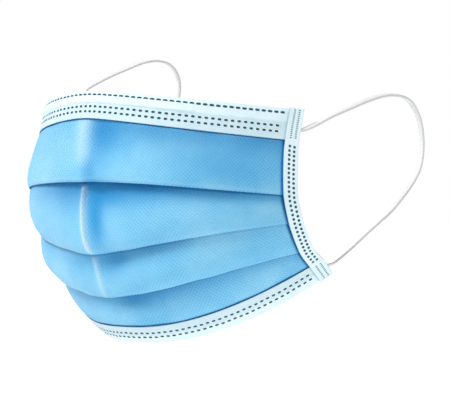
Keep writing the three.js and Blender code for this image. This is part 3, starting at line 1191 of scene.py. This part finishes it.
RIGHT_ROUTE = (
    (72.2, 54.9, -10.7), (74.2, 59.6, -8.6), (75.4, 67.0, -5.4), (75.8, 79.0, -1.5),
    (75.2, 94.2, 2.9), (73.0, 110.6, 5.8), (70.0, 126.5, 5.7), (68.0, 135.3, 3.4),
    (65.0, 145.6, -3.4), (63.0, 150.7, -11.8), (62.0, 152.1, -18.2), (62.0, 149.8, -26.0),
    (63.0, 142.2, -33.4), (65.0, 131.1, -40.2), (66.8, 121.4, -45.5), (70.0, 100.9, -54.4),
    (73.0, 83.0, -62.0), (74.2, 75.4, -65.0), (74.8, 69.8, -67.0),
)
LEFT_ROUTE = (
    (-72.2, 54.9, -10.7), (-74.4, 58.4, -7.4), (-76.0, 62.6, -0.6), (-76.6, 69.2, 10.4),
    (-76.2, 81.6, 17.2), (-75.5, 95.9, 22.8), (-74.8, 109.0, 27.2), (-74.4, 118.4, 28.5),
    (-74.1, 126.0, 27.4), (-73.8, 131.0, 23.8), (-73.5, 133.4, 17.6), (-73.4, 132.2, 8.0),
    (-73.4, 127.0, -8.0), (-73.6, 117.0, -26.0), (-74.0, 103.8, -43.6), (-74.4, 90.0, -55.8),
    (-74.7, 78.2, -63.4), (-74.8, 69.8, -67.0),
)


@dataclass
class NoseWire:
    """The coated wire in the top band. Its CAD solid has the right shape and stays."""

    def dress(self) -> None:
        """Gives the CAD wire its finish."""
        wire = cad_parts["nose_wire"]
        wire.data.materials.clear()
        wire.data.materials.append(WIRE_COAT.material())
        LOG.info("nose_wire: dressed")


# ---------------------------------------------------------------- studio


@dataclass
class Studio:
    """White floor and background, a soft key from the front left, and the camera."""

    azimuth: float = 41.84
    elevation: float = 0.16
    distance: float = 0.7503
    target: tuple = (0.04494, 0.03574, -0.0400)
    lens: float = 144.0
    floor_height: float = -0.19
    ambient: float = 0.42
    key_power: float = 9.4
    fill_power: float = 4.0
    back_power: float = 3.5

    def aim(self, obj: bpy.types.Object, azimuth: float, elevation: float, distance: float) -> None:
        """Sets an object down looking at the target from a direction."""
        a, e = math.radians(azimuth), math.radians(elevation)
        back = Vector((math.sin(a) * math.cos(e), -math.cos(a) * math.cos(e), math.sin(e)))
        obj.location = Vector(self.target) + back * distance
        obj.rotation_mode = "QUATERNION"
        obj.rotation_quaternion = (-back).to_track_quat("-Z", "Y")

    def camera(self) -> None:
        """Makes the camera."""
        data = bpy.data.cameras.new("camera")
        data.lens, data.sensor_width = self.lens, 36.0
        data.clip_start, data.clip_end = 0.01, 20.0
        obj = bpy.data.objects.new("camera", data)
        bpy.context.scene.collection.objects.link(obj)
        self.aim(obj, self.azimuth, self.elevation, self.distance)
        bpy.context.scene.camera = obj

    def light(self, name: str, azimuth: float, elevation: float, power: float, size: float) -> None:
        """Adds one soft light that looks at the target."""
        data = bpy.data.lights.new(name, "AREA")
        data.energy, data.size = power, size
        obj = bpy.data.objects.new(name, data)
        bpy.context.scene.collection.objects.link(obj)
        self.aim(obj, azimuth, elevation, 1.1)

    def floor(self) -> None:
        """Makes the plain white floor."""
        mesh = bpy.data.meshes.new("floor")
        r, z = 8.0, self.floor_height
        mesh.from_pydata([(-r, -r, z), (r, -r, z), (r, r, z), (-r, r, z)], [], [(0, 1, 2, 3)])
        paint = bpy.data.materials.new("floor_white")
        paint.use_nodes = True
        shader = paint.node_tree.nodes["Principled BSDF"]
        shader.inputs["Base Color"].default_value = (0.9, 0.9, 0.9, 1)
        shader.inputs["Roughness"].default_value = 0.9
        shader.inputs["Emission Color"].default_value = (1, 1, 1, 1)
        graph = Graph(paint.node_tree)
        seen = graph.add("ShaderNodeLightPath").outputs["Is Camera Ray"]
        glow = graph.math("MULTIPLY_ADD", seen, 0.7, 0.25)
        graph.join(glow, shader.inputs["Emission Strength"])
        mesh.materials.append(paint)
        obj = bpy.data.objects.new("floor", mesh)
        bpy.context.scene.collection.objects.link(obj)

    def build(self) -> None:
        """Makes the floor, the background and the lights."""
        scene = bpy.context.scene
        scene.view_settings.view_transform = "Standard"
        self.floor()
        world = bpy.data.worlds.new("studio")
        scene.world = world
        world.use_nodes = True
        graph = Graph(world.node_tree)
        lit = world.node_tree.nodes["Background"]
        lit.inputs["Color"].default_value = (1, 1, 1, 1)
        lit.inputs["Strength"].default_value = self.ambient
        seen = graph.add("ShaderNodeBackground", {"Color": (1, 1, 1, 1), "Strength": 1.0})
        camera_ray = graph.add("ShaderNodeLightPath").outputs["Is Camera Ray"]
        inputs = {0: camera_ray, 1: lit.outputs[0], 2: seen.outputs[0]}
        blend = graph.add("ShaderNodeMixShader", inputs)
        graph.join(blend.outputs[0], world.node_tree.nodes["World Output"].inputs["Surface"])
        self.light("key", self.azimuth - 68, 46, self.key_power, 0.35)
        self.light("fill", self.azimuth + 45, 15, self.fill_power, 1.0)
        self.light("back", self.azimuth + 165, 25, self.back_power, 1.0)


def main() -> None:
    """Builds the studio and every piece."""
    logging.basicConfig(level=logging.INFO, format="%(name)s: %(message)s")
    studio = Studio()
    studio.camera()
    surface = MaskSurface()
    for side, route in ((Side.LEFT, LEFT_ROUTE), (Side.RIGHT, RIGHT_ROUTE)):
        EarLoop(surface, side, route).build()
    cloth = PleatedPanel(surface).build()
    bands = [EdgeBand(surface, edge).build() for edge in Edge]
    bindings = [SideBinding(surface, side).build() for side in Side]
    NoseWire().dress()
    studio.build()


if __name__ == "__main__":
    main()
